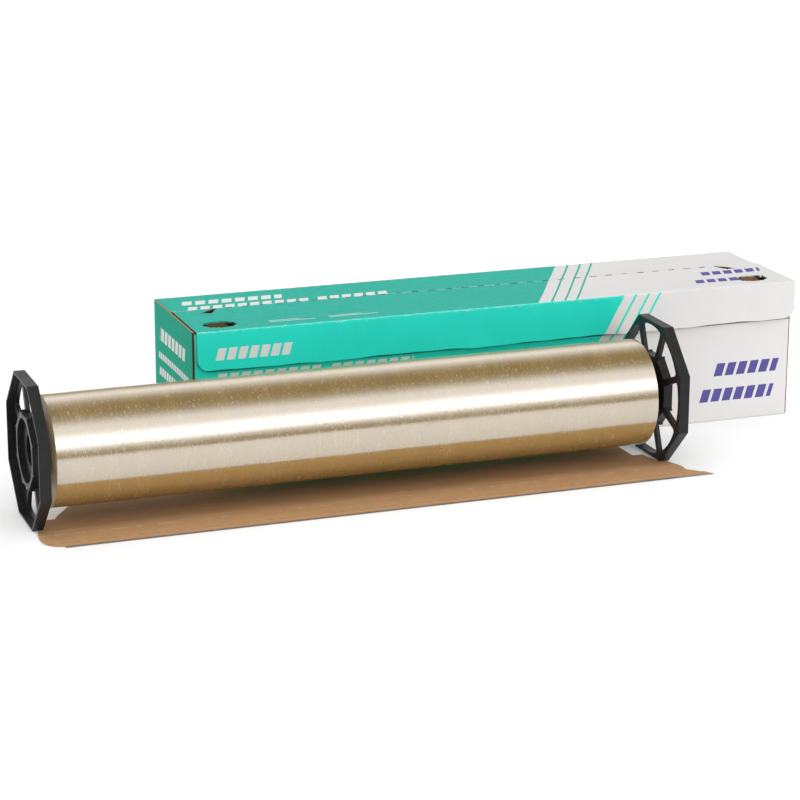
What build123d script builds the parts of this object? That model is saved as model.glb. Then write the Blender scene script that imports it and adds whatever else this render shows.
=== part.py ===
"""Cling film cutter box: carton with a fold-back lid, a film roll on octagonal end caps and a cutter insert.

Millimetres. +X runs along the roll to the right, +Y goes to the back, +Z is up.
The origin is on the floor, in the middle of the whole set's footprint.
"""
import os
from math import cos, hypot, pi, sin, tan

from build123d import *

# Film roll and its core
FILM_X0 = -310.5
FILM_X1 = 305.0
FILM_R = 54.5
CORE_R_OUT = 21.05
CORE_R_IN = 19.05
ROLL_X = -98.75
ROLL_Y = -71.8
ROLL_DROP = 2.5

# End caps: octagons standing on a flat
CAP_FLATS = 141.5
CAP_DEPTH = 11.1
CAP_INNER_X = 319.9
CAP_WALL = 2.4
CAP_WEB = 4.0
CAP_RING_R = 67.0
CAP_SPOKE_W = 6.6
CAP_WINDOW_FILLET = 3.2
CAP_EDGE_R = 0.7
HUB_FLATS = 70.0
HUB_DEPTH = 9.5
HUB_CUP_R = 31.0
HUB_BORE_R = 15.5
HUB_NUB_R = 1.3
SPIGOT_R = 16.45
SPIGOT_BORE_R = 14.2
SPIGOT_LENGTH = 30.0
SPIGOT_LEAD = 1.2
COLLAR_R = 25.0
COLLAR_GAP = 0.4
AXLE_Z = CAP_FLATS / 2

# Carton
BOARD = 1.6
CARTON_X0 = -238.75
CARTON_X1 = 426.7
CARTON_Y0 = 10.25
CARTON_Y1 = 157.8
CARTON_H = 148.5
SEAM = 0.3

# Carton lid
LID_MID_Y = 98.5
LID_REAR_X0 = CARTON_X0 + BOARD + SEAM
LID_REAR_X1 = CARTON_X1
LID_FRONT_X0 = CARTON_X0 + 3.6
LID_FRONT_X1 = 429.75
FLAP_DROP = 41.0
FLAP_CORNER_R = 13.0
SLIT_PITCH = 18.6
SLIT_LENGTH = 8.0
SLIT_WIDTH = 2.2
SLIT_COUNT = 30
THUMB_LENGTH = 36.0
THUMB_WIDTH = 27.0
THUMB_INSET = 35.0
THUMB_Y = CARTON_Y0 + 26.0
TEAR_INSET = 24.0
TEAR_LENGTH = 25.0
TEAR_WIDTH = 16.0

# Cutter insert, measured from the point on the floor under the roll's middle
INSERT_T = 1.0
EAR_X = CAP_INNER_X - 0.5
EAR_REACH = 400.0
INSERT_FRONT_Y = -82.0
CREASE_Y = 0.0
REAR_PANEL_Y = 60.0
BOARD_TIP_X = 350.0
BLADE_X0 = -311.7
BLADE_X1 = 354.6
BLADE_BACK_Y = -74.0
BLADE_TIP_Y = -86.0
BLADE_T = 0.4
TOOTH_PITCH = 2.1
TOOTH_DEPTH = 1.7


def at_roll(shape):
    """Move a shape drawn about the roll's floor point to its place in the set."""
    return Pos(ROLL_X, ROLL_Y, 0) * shape


def octagon(flats):
    """Octagon with a flat on each side, drawn about the origin."""
    radius = flats / 2 / cos(pi / 8)
    points = [(radius * cos(pi / 8 + k * pi / 4), radius * sin(pi / 8 + k * pi / 4)) for k in range(8)]
    return Polygon(*points, align=None)


def cap_plane(inner_x, side):
    """Plane across the roll axis, its normal pointing away from the roll."""
    return Plane(origin=(side * inner_x, 0, AXLE_Z), x_dir=(0, side, 0), z_dir=(side, 0, 0))


def cap_window():
    """One opening between two spokes, centred on the local X direction."""
    apex = CAP_SPOKE_W / 2 / sin(pi / 8)
    reach = 2 * CAP_FLATS
    wedge = Polygon(
        (apex, 0),
        (apex + reach * cos(pi / 8), -reach * sin(pi / 8)),
        (apex + reach * cos(pi / 8), reach * sin(pi / 8)),
        align=None,
    )
    window = (Circle(CAP_RING_R) - octagon(HUB_FLATS)) & wedge
    return fillet(window.vertices(), CAP_WINDOW_FILLET)


def cap_wheel(side):
    """Octagonal rim, flat ring, spokes and the cupped octagonal hub, moulded as one."""
    plane = cap_plane(CAP_INNER_X, side)
    web = octagon(CAP_FLATS) - Circle(HUB_BORE_R)
    for k in range(8):
        web = web - Rot(0, 0, 45 * k) * cap_window()
    body = extrude(plane * web, CAP_WEB)
    body = body + extrude(plane * (octagon(CAP_FLATS) - octagon(CAP_FLATS - 2 * CAP_WALL)), CAP_DEPTH)
    body = fillet(rim_edges(body), CAP_EDGE_R)
    body = body + extrude(plane * (octagon(HUB_FLATS) - Circle(HUB_CUP_R)), HUB_DEPTH)
    nub_reach = HUB_FLATS / 2 / cos(pi / 8)
    for k in range(8):
        angle = pi / 8 + k * pi / 4
        spot = Pos(nub_reach * cos(angle), nub_reach * sin(angle)) * Circle(HUB_NUB_R)
        body = body + extrude(plane * spot, HUB_DEPTH)
    return at_roll(body)


def rim_edges(body):
    """Outer edges of the octagon: the eight corners and both faces' outlines."""
    chosen = []
    for edge in body.edges():
        middle = edge.center()
        if hypot(middle.Y, middle.Z - AXLE_Z) > CAP_FLATS / 2 - 0.1:
            chosen.append(edge)
    return chosen


def cap_spigot(side):
    """Stepped tube that holds the cap in the core and keeps it off the film."""
    film_end = FILM_X1 if side > 0 else -FILM_X0
    collar_length = CAP_INNER_X - film_end - COLLAR_GAP
    plane = cap_plane(CAP_INNER_X, side)
    collar = extrude(plane * Circle(COLLAR_R), -collar_length)
    plug = extrude(plane * Circle(SPIGOT_R), -(collar_length + COLLAR_GAP + SPIGOT_LENGTH))
    end = plug.faces().sort_by(Axis.X)[0 if side > 0 else -1]
    plug = chamfer(end.edges(), SPIGOT_LEAD)
    bore = extrude(plane * Circle(SPIGOT_BORE_R), -(collar_length + COLLAR_GAP + SPIGOT_LENGTH))
    return at_roll(collar + plug - bore)


def roll_tube(r_out, r_in):
    """Straight tube as long as the film; the roll hangs on the spigots, a little below the caps' centres."""
    plane = Plane(origin=(FILM_X0, 0, AXLE_Z - ROLL_DROP), x_dir=(0, 1, 0), z_dir=(1, 0, 0))
    return at_roll(extrude(plane * (Circle(r_out) - Circle(r_in)), FILM_X1 - FILM_X0))


def block(x0, x1, y0, y1, z0, z1):
    """Box given by its limits."""
    return Pos((x0 + x1) / 2, (y0 + y1) / 2, (z0 + z1) / 2) * Box(x1 - x0, y1 - y0, z1 - z0)


def carton_floor():
    return block(CARTON_X0, CARTON_X1, CARTON_Y0, CARTON_Y1, 0, BOARD)


def carton_front_wall():
    top = CARTON_H - BOARD - SEAM
    return block(CARTON_X0 + BOARD, CARTON_X1 - BOARD, CARTON_Y0, CARTON_Y0 + BOARD, BOARD, top)


def carton_rear_wall():
    top = CARTON_H - BOARD - SEAM
    return block(CARTON_X0 + BOARD, CARTON_X1 - BOARD, CARTON_Y1 - BOARD, CARTON_Y1, BOARD, top)


def carton_left_end():
    return block(CARTON_X0, CARTON_X0 + BOARD, CARTON_Y0, CARTON_Y1, BOARD, CARTON_H)


def carton_right_end():
    top = CARTON_H - BOARD - SEAM
    return block(CARTON_X1 - BOARD, CARTON_X1, CARTON_Y0, CARTON_Y1, BOARD, top)


def perforation():
    """Row of short slits along the lid's middle fold."""
    middle = (CARTON_X0 + CARTON_X1) / 2
    slits = []
    for k in range(SLIT_COUNT):
        x = middle + (k - (SLIT_COUNT - 1) / 2) * SLIT_PITCH
        slits.append(Pos(x, LID_MID_Y, CARTON_H) * Box(SLIT_LENGTH, SLIT_WIDTH, 4 * BOARD))
    return slits


def tear_hole(x, side):
    """Three-cornered hole, open to the middle fold, where that fold ends near an end panel."""
    points = [
        (x, LID_MID_Y + 1),
        (x + side * TEAR_LENGTH, LID_MID_Y - TEAR_WIDTH),
        (x + side * TEAR_LENGTH * 0.35, LID_MID_Y - TEAR_WIDTH),
        (x - side * 1.5, LID_MID_Y + 1),
    ]
    outline = Polygon(*points, align=None)
    return extrude(Plane.XY.offset(CARTON_H - 3 * BOARD) * outline, 6 * BOARD)


def lid_rear_panel():
    panel = block(LID_REAR_X0, LID_REAR_X1, LID_MID_Y + SEAM / 2, CARTON_Y1, CARTON_H - BOARD, CARTON_H)
    return panel - perforation()


def lid_front_panel():
    panel = block(LID_FRONT_X0, LID_FRONT_X1, CARTON_Y0, LID_MID_Y - SEAM / 2, CARTON_H - BOARD, CARTON_H)
    cuts = perforation()
    cuts.append(tear_hole(CARTON_X0 + TEAR_INSET + TEAR_LENGTH, -1))
    cuts.append(tear_hole(CARTON_X1 - TEAR_INSET - TEAR_LENGTH, 1))
    oval = Ellipse(THUMB_LENGTH / 2, THUMB_WIDTH / 2)
    thumb = extrude(Plane.XY.offset(CARTON_H - 3 * BOARD) * oval, 6 * BOARD)
    cuts.append(Pos(CARTON_X0 + THUMB_INSET, THUMB_Y, 0) * thumb)
    cuts.append(Pos(CARTON_X1 - THUMB_INSET, THUMB_Y, 0) * thumb)
    return panel - cuts


def lid_front_flap():
    """Tuck flap hanging over the front wall, its lower corners rounded."""
    y1 = CARTON_Y0 - SEAM
    flap = block(LID_FRONT_X0, LID_FRONT_X1, y1 - BOARD, y1, CARTON_H - FLAP_DROP, CARTON_H)
    corners = flap.edges().filter_by(Axis.Y).group_by(Axis.Z)[0]
    return fillet(corners, FLAP_CORNER_R)


def insert_outline():
    """Wide board panel in front of the crease, ears notched round the caps' feet."""
    foot_x = EAR_X
    foot_y = -(CAP_FLATS / 2 * tan(pi / 8) + INSERT_T + 0.6)
    crease = CREASE_Y - 0.15
    with BuildSketch() as outline:
        with BuildLine():
            Polyline((-302.0, crease), (-302.0, -3.4), (-313.0, -3.4), (-foot_x, foot_y), (-325.5, foot_y))
            Spline(
                (-325.5, foot_y),
                (-328.8, -45.0),
                (-330.0, -58.0),
                (-327.6, -70.0),
                (-321.0, -78.5),
                (BLADE_X0, INSERT_FRONT_Y),
            )
            Polyline((BLADE_X0, INSERT_FRONT_Y), (BOARD_TIP_X, INSERT_FRONT_Y))
            Polyline((BOARD_TIP_X, INSERT_FRONT_Y), (BOARD_TIP_X, -79.5), (333.5, -64.0))
            Spline((333.5, -64.0), (333.2, -50.0), (326.0, foot_y))
            Polyline((326.0, foot_y), (foot_x, foot_y), (foot_x, -3.4), (302.0, -3.4), (302.0, crease))
            Line((302.0, crease), (-302.0, crease))
        make_face()
    return outline.sketch


def insert_strip(x0, x1):
    """Length of the wide board panel, with the shallow rebate underneath for the steel strip."""
    board = extrude(insert_outline(), INSERT_T)
    rebate = block(BLADE_X0, BOARD_TIP_X + 1, INSERT_FRONT_Y - 1, BLADE_BACK_Y, -BLADE_T, BLADE_T)
    return at_roll((board - rebate) & block(x0, x1, 2 * INSERT_FRONT_Y, CREASE_Y, -INSERT_T, 2 * INSERT_T))


def insert_rear_panel():
    """Narrow board panel behind the crease."""
    points = [
        (-302.0, CREASE_Y + 0.15),
        (302.0, CREASE_Y + 0.15),
        (300.0, REAR_PANEL_Y),
        (-258.0, REAR_PANEL_Y),
        (-280.0, 34.0),
    ]
    return at_roll(extrude(Polygon(*points, align=None), INSERT_T))


def cutter_blade():
    """Thin steel strip under the board's front edge with a row of pointed teeth."""
    count = int((BLADE_X1 - BLADE_X0) / TOOTH_PITCH)
    root_y = BLADE_TIP_Y + TOOTH_DEPTH
    points = [(BLADE_X0, BLADE_BACK_Y), (BLADE_X0, root_y)]
    for k in range(count):
        x = BLADE_X0 + k * TOOTH_PITCH
        points.append((x + TOOTH_PITCH / 2, BLADE_TIP_Y))
        points.append((x + TOOTH_PITCH, root_y))
    points.append((BLADE_X1, root_y))
    points.append((BLADE_X1 - 6.5, BLADE_BACK_Y))
    return at_roll(extrude(Polygon(*points, align=None), BLADE_T))


def main():
    parts = {
        "carton_floor": carton_floor(),
        "carton_front_wall": carton_front_wall(),
        "carton_rear_wall": carton_rear_wall(),
        "carton_left_end": carton_left_end(),
        "carton_right_end": carton_right_end(),
        "lid_rear_panel": lid_rear_panel(),
        "lid_front_panel": lid_front_panel(),
        "lid_front_flap": lid_front_flap(),
        "insert_front_panel": insert_strip(-EAR_X, EAR_X),
        "insert_left_ear": insert_strip(-EAR_REACH, -EAR_X),
        "insert_right_ear": insert_strip(EAR_X, EAR_REACH),
        "insert_rear_panel": insert_rear_panel(),
        "cutter_blade": cutter_blade(),
        "film_roll": roll_tube(FILM_R, CORE_R_OUT),
        "roll_core": roll_tube(CORE_R_OUT, CORE_R_IN),
        "left_cap_wheel": cap_wheel(-1),
        "left_cap_spigot": cap_spigot(-1),
        "right_cap_wheel": cap_wheel(1),
        "right_cap_spigot": cap_spigot(1),
    }
    os.makedirs("parts", exist_ok=True)
    for name, shape in parts.items():
        export_step(shape, f"parts/{name}.step")


main()
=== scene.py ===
"""Looks of the cling film cutter box set: boards, wound film, end caps, cutter, studio floor and light.

Metres, in the CAD model's own frame. Every place comes from the CAD boxes.
"""

from math import cos, exp, pi, radians, sin, sqrt

import bmesh
import bpy
from mathutils import Matrix, Vector


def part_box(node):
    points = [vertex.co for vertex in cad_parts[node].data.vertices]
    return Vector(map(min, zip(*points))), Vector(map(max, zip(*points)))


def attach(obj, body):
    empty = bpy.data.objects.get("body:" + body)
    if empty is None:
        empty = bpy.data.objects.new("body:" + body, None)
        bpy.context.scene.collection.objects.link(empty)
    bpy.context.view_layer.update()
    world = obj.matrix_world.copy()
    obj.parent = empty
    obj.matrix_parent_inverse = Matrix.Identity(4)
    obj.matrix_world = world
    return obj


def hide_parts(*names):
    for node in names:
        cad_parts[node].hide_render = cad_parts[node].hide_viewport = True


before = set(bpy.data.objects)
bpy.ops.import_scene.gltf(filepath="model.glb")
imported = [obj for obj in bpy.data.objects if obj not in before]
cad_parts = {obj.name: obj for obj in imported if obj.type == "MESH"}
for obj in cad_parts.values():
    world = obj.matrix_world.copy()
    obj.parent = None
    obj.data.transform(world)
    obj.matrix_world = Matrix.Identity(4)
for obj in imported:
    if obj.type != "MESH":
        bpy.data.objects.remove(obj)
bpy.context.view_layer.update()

MM = 0.001

# Printed colours, linear. The green comes in one copy per face and the white paper in a second copy for the
# top: the front copy is painted light, the top and end copies painted shade
TEAL_FRONT_LIT = (0.015, 0.760, 0.620)
TEAL_TOP_SHADED = (0.022, 0.418, 0.329)
TEAL_END_SHADED = (0.018, 0.375, 0.255)
WHITE_INK = (0.78, 0.765, 0.75)
WHITE_TOP_SHADED = (0.69, 0.68, 0.67)
INDIGO = (0.050, 0.036, 0.290)
KRAFT = (0.520, 0.300, 0.145)
KRAFT_DARK = (0.24, 0.125, 0.055)
# Near-black for cut board edges: painted shade of the seams
CUT_EDGE_SHADE = (0.035, 0.022, 0.014)

FLUTE_PITCH = 0.0032


def box_mm(node):
    lo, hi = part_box(node)
    return [v / MM for v in lo], [v / MM for v in hi]


# ---------------------------------------------------------------- mesh helpers

def ripple(x, seed, scale):
    """Smooth repeatable unevenness between -1 and 1."""
    t = x / scale + seed * 7.31
    return 0.5 * sin(t * 2.1 + 1.3 * seed) + 0.3 * sin(t * 4.7 + 2.9 * seed) + 0.2 * sin(t * 9.1 + 0.7 * seed)


def make_object(name, verts, faces):
    mesh = bpy.data.meshes.new(name)
    mesh.from_pydata([(x * MM, y * MM, z * MM) for x, y, z in verts], [], faces)
    work = bmesh.new()
    work.from_mesh(mesh)
    bmesh.ops.remove_doubles(work, verts=work.verts, dist=1e-7)
    bmesh.ops.recalc_face_normals(work, faces=work.faces)
    work.to_mesh(mesh)
    work.free()
    piece = bpy.data.objects.new(name, mesh)
    bpy.context.scene.collection.objects.link(piece)
    return piece


def smooth_by_angle(piece, angle=35):
    """Smooth shading, with edges sharper than the angle kept crisp."""
    work = bmesh.new()
    work.from_mesh(piece.data)
    for face in work.faces:
        face.smooth = True
    for edge in work.edges:
        if len(edge.link_faces) == 2:
            edge.smooth = edge.calc_face_angle(0) < radians(angle)
    work.to_mesh(piece.data)
    work.free()


def even(start, end, step):
    count = max(1, round((end - start) / step))
    return [start + (end - start) * k / count for k in range(count + 1)]


def fold_columns(v0, v1, w0, w1, round0, round1, step=8.0):
    """Board section as (v, low, high): at each side an outer fold radius or a small cut chamfer."""
    columns = []
    if round0:
        for k in range(5):
            a = k * pi / 8
            columns.append((v0 + round0 * (1 - cos(a)), w0, w1 - round0 * (1 - sin(a))))
    else:
        columns += [(v0, w0 + CUT_CHAMFER, w1 - CUT_CHAMFER), (v0 + CUT_CHAMFER, w0, w1)]
    inner0 = v0 + (round0 or CUT_CHAMFER)
    inner1 = v1 - (round1 or CUT_CHAMFER)
    columns += [(v, w0, w1) for v in even(inner0, inner1, step)[1:-1]]
    if round1:
        for k in range(4, -1, -1):
            a = k * pi / 8
            columns.append((v1 - round1 * (1 - cos(a)), w0, w1 - round1 * (1 - sin(a))))
    else:
        columns += [(v1 - CUT_CHAMFER, w0, w1), (v1, w0 + CUT_CHAMFER, w1 - CUT_CHAMFER)]
    return columns


def board(name, stations, columns, place, sway=None):
    """Board swept along u: columns(u) gives the section, place(u, v, w) the point in millimetres."""
    rows = [columns(u) for u in stations]
    n = len(rows[0])
    verts = []
    for u, row in zip(stations, rows):
        for v, lo, hi in row:
            shift = sway(u, v) if sway else 0.0
            verts += [place(u, v, lo + shift), place(u, v, hi + shift)]
    faces = []
    for i in range(len(stations) - 1):
        a, b = 2 * n * i, 2 * n * (i + 1)
        for j in range(0, 2 * (n - 1), 2):
            faces.append((a + j + 1, b + j + 1, b + j + 3, a + j + 3))
            faces.append((a + j, a + j + 2, b + j + 2, b + j))
        faces.append((a, b, b + 1, a + 1))
        faces.append((a + 2 * n - 2, a + 2 * n - 1, b + 2 * n - 1, b + 2 * n - 2))
    last = 2 * n * (len(stations) - 1)
    for j in range(0, 2 * (n - 1), 2):
        faces.append((j, j + 1, j + 3, j + 2))
        faces.append((last + j, last + j + 2, last + j + 3, last + j + 1))
    return make_object(name, verts, faces)


def prism(name, points, z0, z1):
    """Upright prism over an outline of (x, y) points."""
    n = len(points)
    verts = [(x, y, z0) for x, y in points] + [(x, y, z1) for x, y in points]
    faces = [tuple(range(n - 1, -1, -1)), tuple(range(n, 2 * n))]
    faces += [(k, (k + 1) % n, n + (k + 1) % n, n + k) for k in range(n)]
    return make_object(name, verts, faces)


def cut(piece, cutters):
    """Takes the cutters' volume out of the piece, all at once."""
    verts, faces = [], []
    for cutter in cutters:
        base = len(verts)
        verts += [tuple(v.co / MM) for v in cutter.data.vertices]
        faces += [tuple(base + i for i in p.vertices) for p in cutter.data.polygons]
        bpy.data.objects.remove(cutter)
    tool = make_object("cut_tool", verts, faces)
    modifier = piece.modifiers.new("cut", "BOOLEAN")
    modifier.operation = "DIFFERENCE"
    modifier.solver = "EXACT"
    modifier.object = tool
    bpy.context.view_layer.update()
    graph = bpy.context.evaluated_depsgraph_get()
    result = bpy.data.meshes.new_from_object(piece.evaluated_get(graph))
    piece.modifiers.clear()
    piece.data = result
    bpy.data.objects.remove(tool)


def finish_piece(piece, body, nodes, materials, angle=35):
    smooth_by_angle(piece, angle)
    piece.data.materials.clear()
    for material in materials:
        piece.data.materials.append(material)
    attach(piece, body)
    if nodes:
        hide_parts(*nodes)
    return piece


# ---------------------------------------------------------------- node helpers

class Nodes:
    """Short way to lay out a material's node tree."""

    def __init__(self, name):
        self.material = bpy.data.materials.new(name)
        self.material.use_nodes = True
        self.tree = self.material.node_tree
        self.shader = self.tree.nodes["Principled BSDF"]
        self.coords = self.tree.nodes.new("ShaderNodeTexCoord")
        self.xyz = None
        self.normal = None

    def put(self, socket, value):
        if isinstance(value, bpy.types.NodeSocket):
            self.tree.links.new(value, socket)
        elif isinstance(value, tuple) and len(value) == 3 and len(socket.default_value) == 4:
            socket.default_value = (*value, 1.0)
        else:
            socket.default_value = value

    def set(self, name, value):
        self.put(self.shader.inputs[name], value)

    def axis(self, letter):
        if self.xyz is None:
            self.xyz = self.tree.nodes.new("ShaderNodeSeparateXYZ")
            self.put(self.xyz.inputs[0], self.coords.outputs["Object"])
        return self.xyz.outputs[letter]

    def facing(self, letter):
        if self.normal is None:
            self.normal = self.tree.nodes.new("ShaderNodeSeparateXYZ")
            self.put(self.normal.inputs[0], self.coords.outputs["Normal"])
        return self.normal.outputs[letter]

    def math(self, operation, a, b=None, c=None):
        node = self.tree.nodes.new("ShaderNodeMath")
        node.operation = operation
        for socket, value in zip(node.inputs, (a, b, c)):
            if value is not None:
                self.put(socket, value)
        return node.outputs[0]

    def span(self, value, start, end, to_start=0.0, to_end=1.0):
        """Straight-line change from to_start to to_end while value goes from start to end."""
        node = self.tree.nodes.new("ShaderNodeMapRange")
        for socket, part in zip(node.inputs, (value, start, end, to_start, to_end)):
            self.put(socket, part)
        return node.outputs[0]

    def mix(self, factor, a, b):
        node = self.tree.nodes.new("ShaderNodeMix")
        node.data_type = "RGBA"
        self.put(node.inputs["Factor"], factor)
        self.put(node.inputs[6], a)
        self.put(node.inputs[7], b)
        return node.outputs[2]

    def stretch(self, sx, sy, sz):
        node = self.tree.nodes.new("ShaderNodeMapping")
        self.put(node.inputs["Vector"], self.coords.outputs["Object"])
        node.inputs["Scale"].default_value = (sx, sy, sz)
        return node.outputs[0]

    def noise(self, sx, sy, sz, detail=3.0, rough=0.55, distortion=0.0):
        """Noise with its own number of cells per metre along each axis."""
        node = self.tree.nodes.new("ShaderNodeTexNoise")
        self.put(node.inputs["Vector"], self.stretch(sx, sy, sz))
        node.inputs["Scale"].default_value = 1.0
        node.inputs["Detail"].default_value = detail
        node.inputs["Roughness"].default_value = rough
        node.inputs["Distortion"].default_value = distortion
        return node.outputs["Fac"]

    def near(self, value, target, reach):
        """1 where value is within reach of target."""
        return self.math("COMPARE", value, target, reach)

    def below(self, value, limit):
        return self.math("LESS_THAN", value, limit)

    def above(self, value, limit):
        return self.math("GREATER_THAN", value, limit)

    def both(self, a, b):
        return self.math("MULTIPLY", a, b)

    def either(self, a, b):
        return self.math("MAXIMUM", a, b)

    def bump(self, height, strength, distance, under=None):
        node = self.tree.nodes.new("ShaderNodeBump")
        node.inputs["Strength"].default_value = strength
        node.inputs["Distance"].default_value = distance
        self.put(node.inputs["Height"], height)
        if under is not None:
            self.put(node.inputs["Normal"], under)
        return node.outputs["Normal"]


def kraft_colour(n, light=KRAFT, dark=KRAFT_DARK, contrast=0.30):
    """Brown board with cloudy tone and short darker and lighter fibres."""
    cloud = n.noise(45, 60, 60, 3.0)
    fibres = n.noise(900, 2600, 2600, 4.0, 0.65)
    flecks = n.span(n.noise(420, 1500, 1500, 2.0, 0.5), 0.66, 0.74)
    tone = n.mix(n.span(cloud, 0.3, 0.7, 0.0, contrast), light, dark)
    tone = n.mix(n.span(fibres, 0.35, 0.75, 0.0, 0.35), tone, tuple(min(1.0, 1.45 * c) for c in light))
    return n.mix(n.both(flecks, 0.35), tone, dark)


def kraft_material(name, light=KRAFT, dark=KRAFT_DARK, contrast=0.30):
    n = Nodes(name)
    n.set("Base Color", kraft_colour(n, light, dark, contrast))
    n.set("Roughness", n.span(n.noise(200, 500, 500), 0.3, 0.7, 0.68, 0.86))
    n.set("Specular IOR Level", 0.35)
    n.set("Normal", n.bump(n.noise(1500, 3000, 3000, 4.0, 0.6), 0.35, 0.0004))
    return n.material


def raw_edge(n, along, kraft):
    """Cut edge of corrugated board: two liners, and painted shade in the hollows between the flutes."""
    flute = n.math("SINE", n.math("MULTIPLY", n.axis(along), 2 * pi / FLUTE_PITCH))
    hollow = n.both(n.span(flute, 0.1, 0.7), n.span(n.noise(500, 500, 500), 0.3, 0.6, 0.5, 1.0))
    return n.mix(n.both(hollow, 0.75), kraft, (0.05, 0.026, 0.012))


def slanted_block(n, across, up, x0, x1, z0, z1, slant=0.25):
    """Mask of a row of plain leaning blocks, in millimetres."""
    lean = n.math("SUBTRACT", across, n.math("MULTIPLY", up, slant))
    shift = slant * z0 * MM
    inside = n.both(n.above(lean, x0 * MM - shift), n.below(lean, x1 * MM - shift))
    inside = n.both(inside, n.both(n.above(up, z0 * MM), n.below(up, z1 * MM)))
    pitch = 0.95 * (z1 - z0) * MM
    start = n.math("SUBTRACT", lean, x0 * MM - shift)
    return n.both(inside, n.below(n.math("FRACT", n.math("DIVIDE", start, pitch)), 0.74))


def bars(n, across, up, rows):
    mask = None
    for row in rows:
        one = slanted_block(n, across, up, *row)
        mask = one if mask is None else n.either(mask, one)
    return mask


def printed(n, across, up, edge_at, edge_slope, stripes, teal, paper, white_rows, indigo_rows):
    """Green field that ends on a leaning edge, three thin green stripes after it, white beyond."""
    wobble = n.both(n.math("SUBTRACT", n.noise(900, 900, 900, 2.0), 0.5), 0.0006)
    edge = n.math("SUBTRACT", across, n.math("MULTIPLY", up, edge_slope))
    edge = n.math("ADD", n.math("SUBTRACT", edge, edge_at * MM), wobble)
    field = n.span(edge, 0.00015, -0.00015)
    for centre, half in stripes:
        field = n.either(field, n.near(edge, centre * MM, half * MM))
    cloud = n.noise(30, 30, 30, 3.0)
    speck = n.noise(1300, 1300, 1300, 2.0, 0.7)
    green = n.mix(n.span(cloud, 0.3, 0.7, 0.0, 0.16), teal, tuple(0.8 * c for c in teal))
    green = n.mix(n.span(speck, 0.62, 0.8, 0.0, 0.35), green, tuple(min(1.0, c + 0.12) for c in teal))
    white = n.mix(n.span(cloud, 0.3, 0.7, 0.0, 0.25), paper, tuple(0.93 * c for c in paper))
    white = n.mix(n.span(speck, 0.64, 0.8, 0.0, 0.25), white, (0.60, 0.56, 0.50))
    colour = n.mix(field, white, green)
    if white_rows:
        colour = n.mix(n.both(bars(n, across, up, white_rows), 0.93), colour, WHITE_INK)
    if indigo_rows:
        colour = n.mix(n.both(bars(n, across, up, indigo_rows), 0.93), colour, INDIGO)
    return colour


def board_shader(n, colour, flute_axis, gloss=0.42, sheen=0.22):
    """Semi-matte coated board with faint flutes showing through."""
    n.set("Base Color", colour)
    n.set("Roughness", n.span(n.noise(160, 160, 160, 3.0), 0.3, 0.7, gloss - 0.06, gloss + 0.10))
    n.set("Specular IOR Level", sheen)
    dents = n.noise(28, 28, 28, 3.0)
    fine = n.noise(1100, 1100, 1100, 3.0)
    normal = n.bump(dents, 0.35, 0.0016)
    wave = n.math("SINE", n.math("MULTIPLY", n.axis(flute_axis), 2 * pi / FLUTE_PITCH))
    normal = n.bump(wave, 0.07, 0.00022, normal)
    n.set("Normal", n.bump(fine, 0.14, 0.0002, normal))


def scuffed(n, colour, place, target, reach, amount=0.85, threshold=0.55):
    """White paper fibres showing where a printed fold has rubbed."""
    closeness = n.span(n.math("ABSOLUTE", n.math("SUBTRACT", place, target * MM)), reach * MM, 0.0)
    patch = n.noise(260, 900, 900, 4.0, 0.7)
    worn = n.span(n.math("ADD", patch, n.both(closeness, 0.25)), threshold + 0.13, threshold + 0.20)
    return n.mix(n.both(n.both(worn, closeness), amount), colour, (0.70, 0.66, 0.58))


# ---------------------------------------------------------------- carton sizes

front_lo, front_hi = box_mm("carton_front_wall")
rear_lo, rear_hi = box_mm("carton_rear_wall")
left_lo, left_hi = box_mm("carton_left_end")
right_lo, right_hi = box_mm("carton_right_end")
lid_rear_lo, lid_rear_hi = box_mm("lid_rear_panel")
lid_front_lo, lid_front_hi = box_mm("lid_front_panel")
flap_lo, flap_hi = box_mm("lid_front_flap")

LEFT = left_lo[0]
RIGHT = right_hi[0]
FRONT = front_lo[1]
REAR = rear_hi[1]
TOP = left_hi[2]
MID = (lid_front_hi[1] + lid_rear_lo[1]) / 2
FOLD_R = 1.15
HINGE_R = 0.30
CUT_CHAMFER = 0.12
THUMB_Y = FRONT + 26.0
THUMB_INSET = 35.0
THUMB_RX, THUMB_RY = 18.0, 13.5
TEAR_INSET = 49.0

# Where the green field ends: x where z (on the lid, y) is 0, and how far it leans per millimetre
FRONT_SLOPE = 0.578
FRONT_EDGE = 229.2 - FRONT_SLOPE * TOP
TOP_SLOPE = 0.563
TOP_EDGE = 153.05 - TOP_SLOPE * 48.2
# Thin stripes after that edge: middle and half width
FRONT_STRIPES = [(13.0, 1.4), (28.0, 1.4), (41.0, 1.4)]
TOP_STRIPES = [(15.0, 1.25), (30.0, 1.25), (43.5, 1.25)]


# ---------------------------------------------------------------- board materials

def top_print(n):
    rows = [
        (LEFT + 20, LEFT + 128, FRONT + 112, FRONT + 127, 0.3),
        (LEFT + 20, LEFT + 150, FRONT + 89, FRONT + 103, 0.3),
        (LEFT + 160, LEFT + 238, FRONT + 89, FRONT + 103, 0.3),
        (LEFT + 86, LEFT + 134, FRONT + 18, FRONT + 20, 0.0),
        (LEFT + 86, LEFT + 118, FRONT + 22.5, FRONT + 24.5, 0.0),
        (LEFT + 149, LEFT + 201, FRONT + 18, FRONT + 20, 0.0),
        (LEFT + 149, LEFT + 184, FRONT + 22.5, FRONT + 24.5, 0.0),
    ]
    indigo = [
        (LEFT + 586, LEFT + 656, FRONT + 54, FRONT + 68, 0.3),
        (LEFT + 564, LEFT + 645, FRONT + 23, FRONT + 37, 0.3),
    ]
    lean = (TOP_EDGE, TOP_SLOPE, TOP_STRIPES)
    # The green and white paper here are the top's shaded copies: painted shade
    return printed(n, n.axis("X"), n.axis("Y"), *lean, TEAL_TOP_SHADED, WHITE_TOP_SHADED, rows, indigo)


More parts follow.
